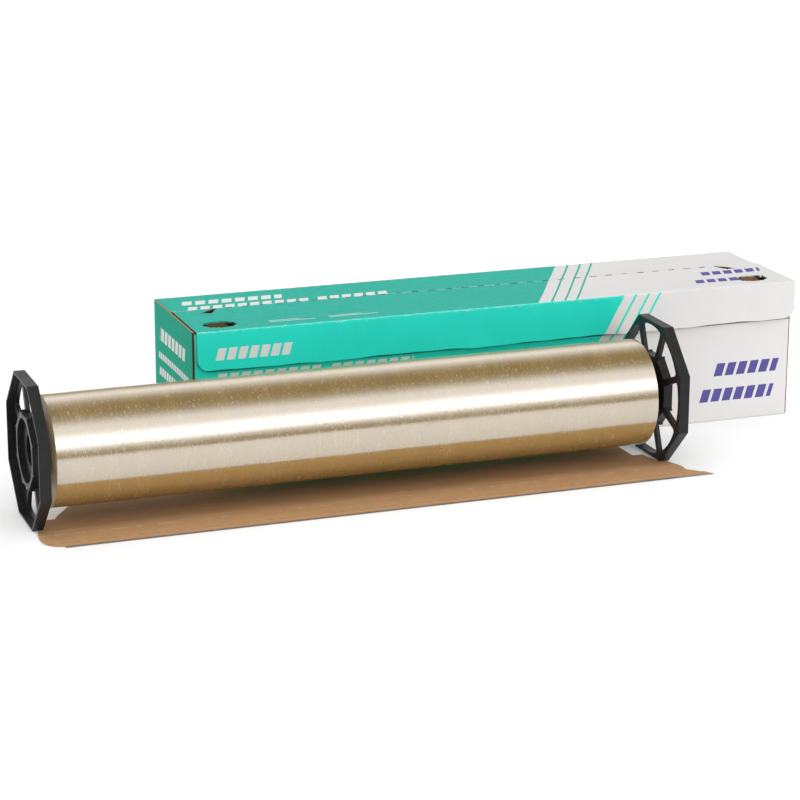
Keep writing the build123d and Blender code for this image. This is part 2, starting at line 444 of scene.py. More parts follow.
def front_print(n):
    rows = [
        (LEFT + 22, LEFT + 100, 119, 131, 0.3),
        (LEFT + 22, LEFT + 132, 91, 104, 0.3),
        (LEFT + 142, LEFT + 230, 91, 104, 0.3),
        (LEFT + 22, LEFT + 60, 58, 62, 0.0),
        (LEFT + 22, LEFT + 90, 48, 52, 0.0),
    ]
    indigo = [
        (LEFT + 576, LEFT + 650, 50, 64, 0.3),
        (LEFT + 560, LEFT + 645, 22, 36, 0.3),
    ]
    lean = (FRONT_EDGE, FRONT_SLOPE, FRONT_STRIPES)
    # The green here is the front's lit copy: painted light
    return printed(n, n.axis("X"), n.axis("Z"), *lean, TEAL_FRONT_LIT, WHITE_INK, rows, indigo)


def lid_material(name, fold_y, reach, amount, threshold):
    """Lid half: print on top and round its outer fold at fold_y, kraft inside, cut edges darkened with
    painted shade.
    """
    n = Nodes(name)
    kraft = kraft_colour(n)
    colour = scuffed(n, top_print(n), n.axis("Y"), fold_y, reach, amount, threshold)
    colour = scuffed(n, colour, n.axis("Y"), MID, 5.0, 0.7, 0.58)
    if fold_y < MID:
        fold = n.below(n.facing("Y"), -0.25)
    else:
        fold = n.above(n.facing("Y"), 0.25)
    outside = n.either(n.above(n.facing("Z"), 0.6), fold)
    outside = n.both(outside, n.below(n.math("ABSOLUTE", n.facing("X")), 0.5))
    # Painted shade: the cut edges are darkened 60 % towards near-black
    edge = raw_edge(n, "Y", n.mix(0.6, kraft, CUT_EDGE_SHADE))
    inside = n.below(n.facing("Z"), -0.6)
    colour = n.mix(outside, n.mix(inside, edge, kraft), colour)
    board_shader(n, colour, "X", 0.44, 0.05)
    return n.material


def bottom_material():
    """Kraft underneath and inside, printed where the folds turn up at the long sides."""
    n = Nodes("carton_bottom_board")
    kraft = kraft_colour(n)
    long_side = n.above(n.math("ABSOLUTE", n.facing("Y")), 0.35)
    board_shader(n, n.mix(long_side, kraft, front_print(n)), "X")
    return n.material


def wall_material(name, sign):
    """Long upright board, printed on the side that faces along sign * Y."""
    n = Nodes(name)
    kraft = kraft_colour(n)
    colour = scuffed(n, front_print(n), n.axis("Z"), TOP, 7.0, 0.5, 0.62)
    if name == "front_wall_print":
        # Painted shadow: a thin dark line on the wall just under the flap's lower edge, patchy along its
        # length
        patchy_shade = n.span(n.noise(120, 30, 900, 3.0, 0.6), 0.25, 0.5, 0.45, 0.8)
        under_flap = n.near(n.axis("Z"), (flap_lo[2] + 0.4) * MM, 0.0013)
        line = n.both(under_flap, n.above(n.axis("X"), (LEFT + 14) * MM))
        colour = n.mix(n.both(line, patchy_shade), colour, (0.03, 0.03, 0.028))
    turned = n.math("MULTIPLY", n.facing("Y"), float(sign))
    printed_side = n.above(turned, 0.5)
    if name == "flap_print":
        rounded = n.both(n.above(turned, -0.2), n.above(n.facing("Z"), 0.25))
        printed_side = n.either(printed_side, rounded)
        printed_side = n.both(printed_side, n.below(n.math("ABSOLUTE", n.facing("X")), 0.5))
    inside = n.below(turned, -0.5)
    # Painted shade: the cut edges are darkened 55 % towards dark brown, for the shadowed seams and flap edge
    edge = raw_edge(n, "X", n.mix(0.55, kraft, (0.06, 0.035, 0.02)))
    colour = n.mix(printed_side, n.mix(inside, edge, kraft), colour)
    board_shader(n, colour, "X", 0.38)
    return n.material


def end_material(name, sign, teal):
    """End panel, all green or all white, facing along sign * X."""
    n = Nodes(name)
    kraft = kraft_colour(n)
    cloud = n.noise(30, 30, 30, 3.0)
    speck = n.noise(1300, 1300, 1300, 2.0, 0.7)
    # On the green end the base is the end's shaded copy of the green: painted shade
    base = TEAL_END_SHADED if teal else WHITE_INK
    colour = n.mix(n.span(cloud, 0.3, 0.7, 0.0, 0.2), base, tuple(0.85 * c for c in base))
    colour = n.mix(n.span(speck, 0.62, 0.8, 0.0, 0.3), colour, tuple(min(1.0, c + 0.1) for c in base))
    if teal:
        rows = [
            (FRONT + 34, FRONT + 128, 110, 124, -0.25),
            (FRONT + 22, FRONT + 134, 90, 97, -0.25),
            (FRONT + 40, FRONT + 134, 72, 81, -0.25),
        ]
        colour = n.mix(n.both(bars(n, n.axis("Y"), n.axis("Z"), rows), 0.93), colour, WHITE_INK)
    # Painted shadow: a near-black ragged strip along the front edge, for the open seam against the front
    # wall; wider on the green end
    ragged = n.math("MULTIPLY", n.noise(60, 60, 400, 3.0), 0.0016)
    gap = 4.4 if teal else 0.8
    corner = n.below(n.math("ADD", n.axis("Y"), ragged), (FRONT + gap) * MM)
    colour = n.mix(corner, colour, (0.022, 0.020, 0.016))
    turned = n.math("MULTIPLY", n.facing("X"), float(sign))
    outside = n.above(turned, 0.3)
    outside = n.either(outside, n.both(n.above(n.facing("Y"), 0.3), n.above(turned, -0.3)))
    outside = n.both(outside, n.below(n.facing("Z"), 0.4))
    # Painted shade: on the white end the faces turned to the front are darkened nearly to black, for the
    # shadowed gap against the front wall
    if not teal:
        colour = n.mix(n.below(n.facing("Y"), -0.5), colour, (0.09, 0.08, 0.075))
    inside = n.below(turned, -0.5)
    edge = raw_edge(n, "Y", kraft)
    colour = n.mix(outside, n.mix(inside, edge, kraft), colour)
    board_shader(n, colour, "Y", 0.50, 0.015)
    return n.material


# ---------------------------------------------------------------- carton pieces

def lid_sag(y_fold, y_mid):
    """The lid dips a little between its folds and waves along its length."""
    def sway(u, v):
        t = (v - y_fold) / (y_mid - y_fold)
        dip = sin(pi * min(1.0, max(0.0, t)))
        ends = min(1.0, (u - LEFT) / 40, (RIGHT - u + 6) / 40)
        return -dip * (0.75 + 0.45 * ripple(u, 1.0, 95.0)) * max(0.0, ends)
    return sway


def slit_cutters(row_y):
    pitch, count = 18.6, 30
    middle = (LEFT + RIGHT) / 2
    tools = []
    for k in range(count):
        x = middle + (k - (count - 1) / 2) * pitch
        length = 8.0 + 1.0 * sin(k * 2.3)
        half = 1.1 + 0.15 * sin(k * 3.1)
        y = row_y + 0.15 * sin(k * 1.7)
        outline = [
            (x - length / 2, y - 0.5 * half), (x - length / 2 + 0.6, y - half),
            (x + length / 2 - 0.6, y - half), (x + length / 2, y - 0.4 * half),
            (x + length / 2, y + 0.5 * half), (x + length / 2 - 0.7, y + half),
            (x - length / 2 + 0.5, y + half), (x - length / 2, y + 0.4 * half),
        ]
        tools.append(through_lid("slit", outline))
    return tools


def torn_oval(x, y, rx, ry, seed):
    """Outline of a thumb hole with a ragged, partly torn edge."""
    points = []
    for k in range(56):
        a = 2 * pi * k / 56
        rag = 1.0 - 0.035 - 0.035 * sin(9 * a + seed) - 0.03 * sin(17 * a + 2 * seed) - 0.02 * sin(23 * a)
        points.append((x + rx * rag * cos(a), y + ry * rag * sin(a)))
    return points


def tear_outline(x, side):
    """Three-cornered tear that opens on the middle fold."""
    length, width = 25.0, 16.0
    along_and_in = [
        (0.48, 0.42), (0.70, 0.80), (1.0, 1.0), (0.66, 0.92), (0.35, 1.0), (0.12, 0.45),
    ]
    torn = [(x + side * length * a, MID - width * b) for a, b in along_and_in]
    return [(x, MID + 1)] + torn + [(x - side * 1.5, MID + 1)]


def through_lid(name, outline):
    return prism(name, outline, TOP - 8, TOP + 8)


def lid_board(name, lo, hi, rounds, sway):
    """Half of the lid, with an outer fold radius at the side or sides given in rounds."""
    stations = [lo[0], lo[0] + CUT_CHAMFER] + even(lo[0] + 4, hi[0] - 4, 9.0) + [hi[0] - CUT_CHAMFER, hi[0]]

    def columns(u):
        inset = CUT_CHAMFER if u in (lo[0], hi[0]) else 0.0
        return [(v, a + inset, b - inset) for v, a, b in fold_columns(lo[1], hi[1], lo[2], hi[2], *rounds)]

    return board(name, stations, columns, lambda u, v, w: (u, v, w), sway)


def make_lid_front():
    piece = lid_board("lid_front_board", lid_front_lo, lid_front_hi, (FOLD_R, 0), lid_sag(FRONT, MID))
    tools = slit_cutters(MID)
    tools.append(through_lid("hole", torn_oval(LEFT + THUMB_INSET, THUMB_Y, THUMB_RX, THUMB_RY, 0.4)))
    tools.append(through_lid("hole", torn_oval(RIGHT - THUMB_INSET, THUMB_Y, THUMB_RX, THUMB_RY, 2.1)))
    tools.append(through_lid("hole", tear_outline(LEFT + TEAR_INSET, -1)))
    tools.append(through_lid("hole", tear_outline(RIGHT - TEAR_INSET, 1)))
    cut(piece, tools)
    material = lid_material("lid_front_print", FRONT, 7.0, 0.5, 0.62)
    return finish_piece(piece, "lid_front", ["lid_front_panel"], [material])


def make_lid_rear():
    piece = lid_board("lid_rear_board", lid_rear_lo, lid_rear_hi, (0, HINGE_R), lid_sag(REAR, MID))
    cut(piece, slit_cutters(MID))
    material = lid_material("lid_rear_print", REAR, 6.0, 0.85, 0.55)
    return finish_piece(piece, "lid_rear", ["lid_rear_panel"], [material])


def make_flap():
    """Tuck flap: rounded lower corners, wavy lower edge standing a little off the wall."""
    lo, hi = flap_lo, flap_hi
    corner = 13.0
    arc = [corner * (1 - cos(k * pi / 16)) for k in range(1, 8)]
    stations = [lo[0]] + [lo[0] + a for a in arc] + even(lo[0] + corner, hi[0] - corner, 9.0)
    stations += [hi[0] - a for a in reversed(arc)] + [hi[0]]

    def lower(u):
        reach = min(u - lo[0], hi[0] - u)
        z = lo[2] + 1.1 + 1.1 * ripple(u, 2.0, 60.0)
        if reach < corner:
            z += corner - sqrt(max(0.0, corner ** 2 - (corner - reach) ** 2))
        return z

    def columns(u):
        inset = CUT_CHAMFER if u in (lo[0], hi[0]) else 0.0
        section = fold_columns(lower(u), hi[2], 0.0, hi[1] - lo[1], 0, FOLD_R, 4.5)
        return [(v, a + inset, b - inset) for v, a, b in resample(section, 12)]

    def sway(u, v):
        drop = (hi[2] - v) / (hi[2] - lo[2])
        stand_off = drop ** 1.6 * (2.4 + 0.8 * ripple(u, 3.0, 80.0))
        return stand_off + 0.25 * sin(pi * min(1, drop)) * ripple(u, 5.0, 45.0)

    piece = board("flap_board", stations, columns, lambda u, v, w: (u, hi[1] - w, v), sway)
    material = wall_material("flap_print", -1)
    return finish_piece(piece, "front_flap", ["lid_front_flap"], [material])


def resample(section, count):
    """Keeps the two cut columns and the five fold columns, and spaces the rest evenly between them."""
    start, fold = section[:2], section[-5:]
    v0, v1 = start[-1][0], fold[0][0]
    lo, hi = start[-1][1], start[-1][2]
    middle = [(v0 + (v1 - v0) * k / (count + 1), lo, hi) for k in range(1, count + 1)]
    return start + middle + fold


def make_wall(name, node, lo, hi, outward, print_name):
    """Front or rear wall: slightly bowed outwards, plain cut top edge."""
    stations = [lo[0]] + even(lo[0] + 3, hi[0] - 3, 9.0) + [hi[0]]
    thick = hi[1] - lo[1]

    def columns(u):
        return fold_columns(lo[2], hi[2], 0.0, thick, 0, 0, 9.0)

    def place(u, v, w):
        return (u, hi[1] - w, v) if outward < 0 else (u, lo[1] + w, v)

    def sway(u, v):
        s = sin(pi * (v - lo[2]) / (hi[2] - lo[2])) * sin(pi * (u - lo[0]) / (hi[0] - lo[0]))
        return -0.9 * s + 0.18 * s * ripple(u, 4.0, 70.0)

    piece = board(name, stations, columns, place, sway)
    return finish_piece(piece, "carton", [node], [wall_material(print_name, outward)])


def make_fold_liner():
    """Outer paper that runs on unbroken from the rear wall to the lid: the lid bends on it."""
    section = [(-0.08, -2.4), (-0.08, -0.22), (-0.20, -0.08), (-0.48, -0.40), (-0.48, -2.4)]
    stations = even(lid_rear_lo[0] + 0.6, lid_rear_hi[0] - 0.6, 9.0)
    verts = []
    for x in stations:
        verts += [(x, REAR + y - 0.03 * (1 + ripple(x, 8.0, 60.0)) * 0.5, TOP + z) for y, z in section]
    n = len(section)
    faces = [tuple(range(n)), tuple(range(len(verts) - 1, len(verts) - n - 1, -1))]
    for i in range(len(stations) - 1):
        for k in range(n):
            m = (k + 1) % n
            faces.append((i * n + k, (i + 1) * n + k, (i + 1) * n + m, i * n + m))
    piece = make_object("rear_fold_liner", verts, faces)
    return finish_piece(piece, "carton", [], [wall_material("rear_fold_print", 1)])


def make_end(name, node, lo, hi, outward, teal):
    """End panel: folded upright edges, cut top edge."""
    stations = [lo[2]] + [lo[2] + 0.15] + even(lo[2] + 5, hi[2] - 5, 9.0) + [hi[2] - 0.15, hi[2]]
    thick = hi[0] - lo[0]

    def columns(u):
        inset = CUT_CHAMFER if u in (lo[2], hi[2]) else 0.0
        section = fold_columns(lo[1], hi[1], 0.0, thick, FOLD_R, FOLD_R, 9.0)
        return [(v, a + inset, b - inset) for v, a, b in section]

    def place(u, v, w):
        return (hi[0] - w, v, u) if outward < 0 else (lo[0] + w, v, u)

    def sway(u, v):
        s = sin(pi * (v - lo[1]) / (hi[1] - lo[1])) * sin(pi * (u - lo[2]) / (hi[2] - lo[2]))
        return -0.8 * s

    piece = board(name, stations, columns, place, sway)
    material = end_material(name + "_print", outward, teal)
    return finish_piece(piece, "carton", [node], [material])


def make_carton_floor():
    lo, hi = box_mm("carton_floor")
    stations = [lo[0]] + even(lo[0] + 3, hi[0] - 3, 12.0) + [hi[0]]

    def columns(u):
        return fold_columns(lo[1], hi[1], 0.0, hi[2] - lo[2], 0.8, 0.8, 9.0)

    piece = board("carton_bottom_board", stations, columns, lambda u, v, w: (u, v, hi[2] - w))
    return finish_piece(piece, "carton", ["carton_floor"], [bottom_material()])


make_lid_front()
make_lid_rear()
make_flap()
make_wall("front_wall_board", "carton_front_wall", front_lo, front_hi, -1, "front_wall_print")
make_wall("rear_wall_board", "carton_rear_wall", rear_lo, rear_hi, 1, "rear_wall_print")
make_end("left_end_board", "carton_left_end", left_lo, left_hi, -1, True)
make_end("right_end_board", "carton_right_end", right_lo, right_hi, 1, False)
make_carton_floor()


def make_thumb_tab(name, x, seed, turn):
    """Punched-out tab that stays hinged behind its hole and hangs inside the carton."""
    hinge_y = THUMB_Y + 13.0
    length = 23.0
    stations = even(-13.0, 13.0, 2.0)

    def columns(u):
        half = sqrt(max(0.02, 1 - (u / 13.6) ** 2))
        v1 = length * (0.42 + 0.58 * half) + 0.5 * sin(u * 1.9 + seed)
        return [(v1 * k / 6, 0.0, 1.3) for k in range(7)]

    def place(u, v, w):
        a = radians(turn)
        return (x + u, hinge_y - v * cos(a) - w * sin(a), TOP - 1.9 - v * sin(a) - (1.3 - w) * cos(a))

    piece = board(name, stations, columns, place)
    shaded = [tuple(0.30 * part for part in colour) for colour in (KRAFT, KRAFT_DARK)]
    material = kraft_material(name + "_kraft", shaded[0], shaded[1], 0.45)
    return finish_piece(piece, "lid_front", [], [material])


make_fold_liner()
make_thumb_tab("left_thumb_tab", LEFT + THUMB_INSET, 0.5, 84)
make_thumb_tab("right_thumb_tab", RIGHT - THUMB_INSET, 1.4, 28)


# ---------------------------------------------------------------- cutter insert

insert_lo, insert_hi = box_mm("insert_front_panel")
ear_hi = box_mm("insert_left_ear")[1]
ROLL_X = (box_mm("left_cap_wheel")[0][0] + box_mm("right_cap_wheel")[1][0]) / 2
ROLL_Y = (box_mm("film_roll")[0][1] + box_mm("film_roll")[1][1]) / 2
INSERT_T = insert_hi[2]
# Lines across the insert, measured from the point under the roll's middle
PANEL_FRONT = -81.9
STRIP_BACK = -74.0
PRESSED_LINE = -73.6


def curve_points(points, per_leg=8):
    """Smooth line through the points (Catmull-Rom)."""
    out = []
    for k in range(len(points) - 1):
        p0 = points[max(0, k - 1)]
        p1, p2 = points[k], points[k + 1]
        p3 = points[min(len(points) - 1, k + 2)]
        for i in range(per_leg):
            t = i / per_leg
            point = []
            for a, b, c, d in zip(p0, p1, p2, p3):
                square, cube = 2 * a - 5 * b + 4 * c - d, 3 * b - a - 3 * c + d
                point.append(0.5 * (2 * b + (c - a) * t + square * t * t + cube * t ** 3))
            out.append(tuple(point))
    out.append(points[-1])
    return out


def insert_limits():
    """Left and right edge lines of the wide panel as (y, x) tables, about the roll's middle."""
    ear = ear_hi[1] - ROLL_Y
    left = [(-0.15, -302.0), (-3.4, -303.0), (-3.5, -313.0), (ear, -319.3), (ear - 0.1, -325.4)]
    ear_end = [
        (-325.5, ear - 0.2), (-328.8, -45.0), (-329.8, -58.0),
        (-327.6, -70.0), (-321.0, -78.5), (-311.7, PANEL_FRONT),
    ]
    left += [(y, x) for x, y in curve_points(ear_end)]
    right = [(-0.15, 302.0), (-3.4, 303.0), (-3.5, 313.0), (ear, 319.3), (ear - 0.1, 326.0)]
    right += [(y, x) for x, y in curve_points([(326.0, ear - 0.2), (333.2, -50.0), (333.5, -64.0)])]
    right += [(-72.0, 341.5), (-79.4, 349.8), (PANEL_FRONT, 350.0)]
    return left, right


def lookup(table, y):
    for (y0, x0), (y1, x1) in zip(table, table[1:]):
        if y1 <= y <= y0:
            return x0 + (x1 - x0) * ((y0 - y) / (y0 - y1) if y0 > y1 else 0.0)
    return table[-1][1]


def sheet_faces(row_count, count):
    """Faces of a thin sheet whose rows hold count + 1 pairs of points, lower and upper."""
    faces = []
    span = 2 * (count + 1)
    for i in range(row_count - 1):
        for k in range(count):
            a = i * span + 2 * k
            b = a + span
            faces.append((a + 1, a + 3, b + 3, b + 1))
            faces.append((a, b, b + 2, a + 2))
        a, b = i * span, (i + 1) * span
        faces.append((a, a + 1, b + 1, b))
        a, b = a + span - 2, b + span - 2
        faces.append((a, b, b + 1, a + 1))
    last = (row_count - 1) * span
    for k in range(count):
        a, b = 2 * k, last + 2 * k
        faces.append((a, a + 2, a + 3, a + 1))
        faces.append((b, b + 1, b + 3, b + 2))
    return faces


def make_insert_front():
    """Wide panel: ears with curved ends, a pressed line along the steel strip, slightly curled edge."""
    left, right = insert_limits()
    rows = {round(y, 3) for y, _ in left + right} | {round(y, 3) for y in even(PANEL_FRONT, -3.6, 4.0)}
    rows = sorted(rows | {STRIP_BACK, -73.2})
    rows = [insert_lo[1] - ROLL_Y] + [y for y in rows if PANEL_FRONT <= y <= -0.15]
    count = 96
    verts = []
    for y in rows:
        x0, x1 = lookup(left, max(y, PANEL_FRONT)), lookup(right, max(y, PANEL_FRONT))
        for k in range(count + 1):
            x = x0 + (x1 - x0) * k / count
            press = 0.10 * exp(-((y - PRESSED_LINE) / 0.7) ** 2)
            under = 0.42 if y <= STRIP_BACK else 0.0
            verts.append((ROLL_X + x, ROLL_Y + y, under))
            edge = 0.08 if y == rows[0] else 0.0
            top = INSERT_T - press - edge - 0.03 + 0.03 * ripple(x, 2.0, 30.0)
            verts.append((ROLL_X + x, ROLL_Y + y, top))
    piece = make_object("insert_board", verts, sheet_faces(len(rows), count))
    nodes = ["insert_front_panel", "insert_left_ear", "insert_right_ear"]
    return finish_piece(piece, "insert", nodes, [insert_material("insert_kraft")])


def insert_material(name):
    n = Nodes(name)
    colour = kraft_colour(n, contrast=0.22)
    line_y = (ROLL_Y + PRESSED_LINE) * MM
    dash = n.above(n.math("SINE", n.math("MULTIPLY", n.axis("X"), 2 * pi / 0.0125)), -0.2)
    score = n.both(n.near(n.axis("Y"), line_y, 0.0007), dash)
    colour = n.mix(n.both(score, 0.45), colour, KRAFT_DARK)
    # Painted shade: patchy darkening that grows towards the roll, then an even painted shadow under the roll
    patchy_shade = n.span(n.noise(14, 700, 700, 3.0, 0.6), 0.50, 0.72)
    patchy_shade = n.both(patchy_shade, n.span(n.axis("Y"), (ROLL_Y - 62) * MM, (ROLL_Y - 45) * MM))
    colour = n.mix(n.both(patchy_shade, 0.55), colour, KRAFT_DARK)
    under = n.span(n.axis("Y"), (ROLL_Y - 44) * MM, (ROLL_Y - 30) * MM, 0.0, 0.45)
    colour = n.mix(under, colour, KRAFT_DARK)
    scratch = n.near(n.axis("Y"), (ROLL_Y - 50.0) * MM, 0.0011)
    scratch = n.both(scratch, n.span(n.noise(90, 30, 30, 3.0), 0.52, 0.60))
    n.set("Base Color", n.mix(n.both(scratch, 0.6), colour, (0.66, 0.50, 0.32)))
    n.set("Roughness", n.span(n.noise(200, 500, 500), 0.3, 0.7, 0.68, 0.84))
    n.set("Specular IOR Level", 0.35)
    normal = n.bump(n.noise(22, 40, 40, 3.0), 0.30, 0.0012)
    normal = n.bump(n.noise(1500, 3000, 3000, 4.0, 0.6), 0.35, 0.0004, normal)
    n.set("Normal", normal)
    return n.material


def make_insert_rear():
    """Narrow panel behind the crease, running in towards its left end."""
    lo, hi = box_mm("insert_rear_panel")
    rows = even(lo[1], hi[1], 4.0)
    count = 80
    verts = []
    for y in rows:
        v = y - ROLL_Y
        x0 = -302.0 + 0.65 * v if v < 34 else -280.0 + (v - 34) * 22.0 / 26.0
        x1 = 302.0 - 2.0 * v / 60
        for k in range(count + 1):
            x = x0 + (x1 - x0) * k / count
            press = 0.10 * exp(-((y - lo[1]) / 0.8) ** 2)
            verts.append((ROLL_X + x, y, 0.0))
            verts.append((ROLL_X + x, y, INSERT_T - press - 0.03 + 0.03 * ripple(x, 3.0, 34.0)))
    piece = make_object("insert_rear_board", verts, sheet_faces(len(rows), count))
    material = insert_material("insert_rear_kraft")
    return finish_piece(piece, "insert_rear", ["insert_rear_panel"], [material])


make_insert_front()
make_insert_rear()


# ---------------------------------------------------------------- film roll

film_lo, film_hi = box_mm("film_roll")
core_lo, core_hi = box_mm("roll_core")
FILM_R = (film_hi[2] - film_lo[2]) / 2
CORE_R = (core_hi[2] - core_lo[2]) / 2
AXLE = Vector([(a + b) / 2 * MM for a, b in zip(film_lo, film_hi)])
FILM_HALF = (film_hi[0] - film_lo[0]) / 2


def make_film():
    """Wound film: slightly uneven gauge bands along the roll and wraps that don't end quite flush."""
    around = 180
    profile = []
    rings = 16
    for k in range(rings):
        r = CORE_R + 0.05 + (FILM_R - 1.2 - CORE_R) * k / (rings - 1)
        profile.append((-FILM_HALF + 0.25 + 0.22 * ripple(r, 1.0, 5.0), r))
    for k in range(1, 5):
        a = k * pi / 8
        profile.append((-FILM_HALF + 0.9 * (1 - sin(a)) + 0.05, FILM_R - 1.15 + 0.9 * (1 - cos(a))))
    xs = [-FILM_HALF + 1.6, -FILM_HALF + 3.0] + even(-FILM_HALF + 5, FILM_HALF - 5, 3.2)
    xs += [FILM_HALF - 3.0, FILM_HALF - 1.6]
    for x in xs:
        bands = 0.10 * ripple(x, 2.0, 26.0) + 0.05 * ripple(x, 6.0, 9.0)
        step = 0.16 if x < -FILM_HALF + 25 else 0.0
        crown = 0.10 * (abs(x) / FILM_HALF) ** 6
        profile.append((x, FILM_R - 0.17 + bands - step - crown))
    for k in range(4, 0, -1):
        a = k * pi / 8
        profile.append((FILM_HALF - 0.9 * (1 - sin(a)) - 0.05, FILM_R - 1.15 + 0.9 * (1 - cos(a))))
    for k in range(rings - 1, -1, -1):
        r = CORE_R + 0.05 + (FILM_R - 1.2 - CORE_R) * k / (rings - 1)
        profile.append((FILM_HALF - 0.25 - 0.22 * ripple(r, 4.0, 5.0), r))
    verts, faces = [], []
    for x, r in profile:
        for k in range(around):
            a = 2 * pi * k / around
            out = 0.0
            if r > FILM_R - 1:
                out = 0.03 * sin(3 * a + x / 70) + 0.02 * sin(7 * a - x / 31)
            verts.append((x, (r + out) * cos(a), (r + out) * sin(a)))
    rows = len(profile)
    for i in range(rows):
        j = (i + 1) % rows
        for k in range(around):
            m = (k + 1) % around
            faces.append((i * around + k, j * around + k, j * around + m, i * around + m))
    piece = make_object("film_wound", verts, faces)
    piece.location = AXLE
    finish_piece(piece, "roll", ["film_roll"], [film_material(), film_end_material()], 60)
    for polygon in piece.data.polygons:
        polygon.material_index = 1 if abs(polygon.normal.x) > 0.6 else 0
    return piece


def film_material():
    """Many clear golden wraps: mirror-like sheen broken by stretch lines, wrinkles and trapped air."""
    n = Nodes("film_side")
    streak = n.noise(620, 60, 60, 4.0, 0.6, 0.4)
    band = n.noise(55, 5, 5, 3.0, 0.55)
    cloud = n.noise(22, 26, 26, 3.0, 0.6)
    amber = n.mix(n.span(streak, 0.35, 0.7, 0.0, 0.55), (0.34, 0.215, 0.048), (0.42, 0.30, 0.10))
    amber = n.mix(n.span(band, 0.35, 0.7, 0.0, 0.5), amber, (0.27, 0.160, 0.030))
    air = n.span(n.noise(240, 110, 110, 3.0, 0.6, 0.6), 0.62, 0.74)
    amber = n.mix(n.both(air, 0.45), amber, (0.60, 0.54, 0.42))
    margin = n.span(n.axis("X"), (-FILM_HALF + 24) * MM, (-FILM_HALF + 27) * MM, 1.0, 0.0)
    n.set("Base Color", n.mix(n.both(margin, 0.45), amber, (0.36, 0.24, 0.075)))
    n.set("Roughness", n.math("ADD", n.span(cloud, 0.3, 0.7, 0.07, 0.17), n.both(air, 0.10)))
    n.set("IOR", 4.4)
    wide = n.bump(n.noise(30, 10, 10, 2.0), 0.25, 0.0009)
    creases = n.math("ABSOLUTE", n.math("SUBTRACT", n.noise(150, 70, 70, 2.0, 0.5, 1.6), 0.5))
    patches = n.span(n.noise(18, 24, 24, 2.0), 0.42, 0.62)
    folds = n.bump(n.both(n.span(creases, 0.0, 0.06, 1.0, 0.0), patches), 0.16, 0.00016, wide)
    wraps = n.bump(n.noise(520, 45, 45, 3.0, 0.65, 0.3), 0.40, 0.00014, folds)
    sparks = n.bump(n.span(n.noise(620, 300, 300, 2.0, 0.5, 0.5), 0.64, 0.74), 0.34, 0.00020, wraps)
    n.set("Normal", n.bump(streak, 0.40, 0.00012, sparks))
    return n.material


def film_end_material():
    n = Nodes("film_ends")
    radius = n.tree.nodes.new("ShaderNodeVectorMath")
    radius.operation = "LENGTH"
    flat = n.tree.nodes.new("ShaderNodeVectorMath")
    flat.operation = "MULTIPLY"
    n.put(flat.inputs[0], n.coords.outputs["Object"])
    flat.inputs[1].default_value = (0.0, 1.0, 1.0)
    n.put(radius.inputs[0], flat.outputs[0])
    rings = n.tree.nodes.new("ShaderNodeTexNoise")
    rings.noise_dimensions = "1D"
    n.put(rings.inputs["W"], radius.outputs["Value"])
    rings.inputs["Scale"].default_value = 1400.0
    rings.inputs["Detail"].default_value = 4.0
    rings.inputs["Roughness"].default_value = 0.7
    tone = n.mix(n.span(rings.outputs["Fac"], 0.35, 0.65), (0.30, 0.20, 0.085), (0.52, 0.41, 0.22))
    smear = n.noise(60, 60, 60, 3.0)
    n.set("Base Color", n.mix(n.span(smear, 0.35, 0.7, 0.0, 0.35), tone, (0.22, 0.145, 0.06)))
    n.set("Roughness", n.span(rings.outputs["Fac"], 0.3, 0.7, 0.25, 0.45))
    n.set("IOR", 1.6)
    n.set("Normal", n.bump(rings.outputs["Fac"], 0.5, 0.0003))
    return n.material


make_film()


# ---------------------------------------------------------------- materials on the CAD's own meshes

def core_material():
    n = Nodes("core_spiral_board")
    turn = n.math("ARCTAN2", n.axis("Y"), n.axis("Z"))
    colour = kraft_colour(n, (0.46, 0.33, 0.20), (0.26, 0.16, 0.08))
    spiral = n.math("ADD", n.math("MULTIPLY", n.axis("X"), 2 * pi / 0.09), turn)
    seam = n.above(n.math("COSINE", spiral), 0.997)
    n.set("Base Color", n.mix(n.both(seam, 0.6), colour, (0.16, 0.09, 0.04)))
    n.set("Roughness", n.span(n.noise(300, 300, 300), 0.3, 0.7, 0.7, 0.86))
    n.set("Normal", n.bump(n.noise(900, 2400, 2400, 4.0), 0.3, 0.0004))
    return n.material


def plastic_material(name):
    n = Nodes(name)
    cloud = n.noise(90, 90, 90, 3.0)
    grain = n.noise(2400, 2400, 2400, 2.0, 0.5)
    dust = n.span(n.noise(700, 700, 700, 2.0, 0.5), 0.70, 0.78)
    black = n.mix(n.span(cloud, 0.35, 0.7), (0.0065, 0.0065, 0.007), (0.011, 0.011, 0.0115))
    n.set("Base Color", n.mix(n.both(dust, 0.22), black, (0.09, 0.09, 0.09)))
    n.set("Roughness", n.span(cloud, 0.3, 0.7, 0.34, 0.46))
    n.set("Specular IOR Level", 0.32)
    flow = n.bump(cloud, 0.25, 0.0008)
    n.set("Normal", n.bump(grain, 0.22, 0.00012, flow))
    return n.material


def steel_material():
    n = Nodes("blade_steel_brushed")
    brushed = n.noise(60, 5000, 5000, 3.0, 0.6)
    stain = n.noise(140, 300, 300, 3.0)
    bright = n.mix(n.span(brushed, 0.3, 0.7), (0.30, 0.30, 0.31), (0.62, 0.62, 0.63))
    n.set("Base Color", n.mix(n.span(stain, 0.5, 0.8, 0.0, 0.5), bright, (0.12, 0.11, 0.10)))
    n.set("Metallic", 1.0)
    n.set("Roughness", n.span(brushed, 0.3, 0.7, 0.38, 0.52))
    n.set("Normal", n.bump(brushed, 0.15, 0.0001))
    return n.material


def dress(node, material):
    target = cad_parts[node]
    for place in target.material_slots:
        place.material = material


dress("roll_core", core_material())
plastic = plastic_material("cap_plastic_black")
for name in ("left_cap_wheel", "left_cap_spigot", "right_cap_wheel", "right_cap_spigot"):
    dress(name, plastic)
dress("cutter_blade", steel_material())


# ---------------------------------------------------------------- floor, light and camera

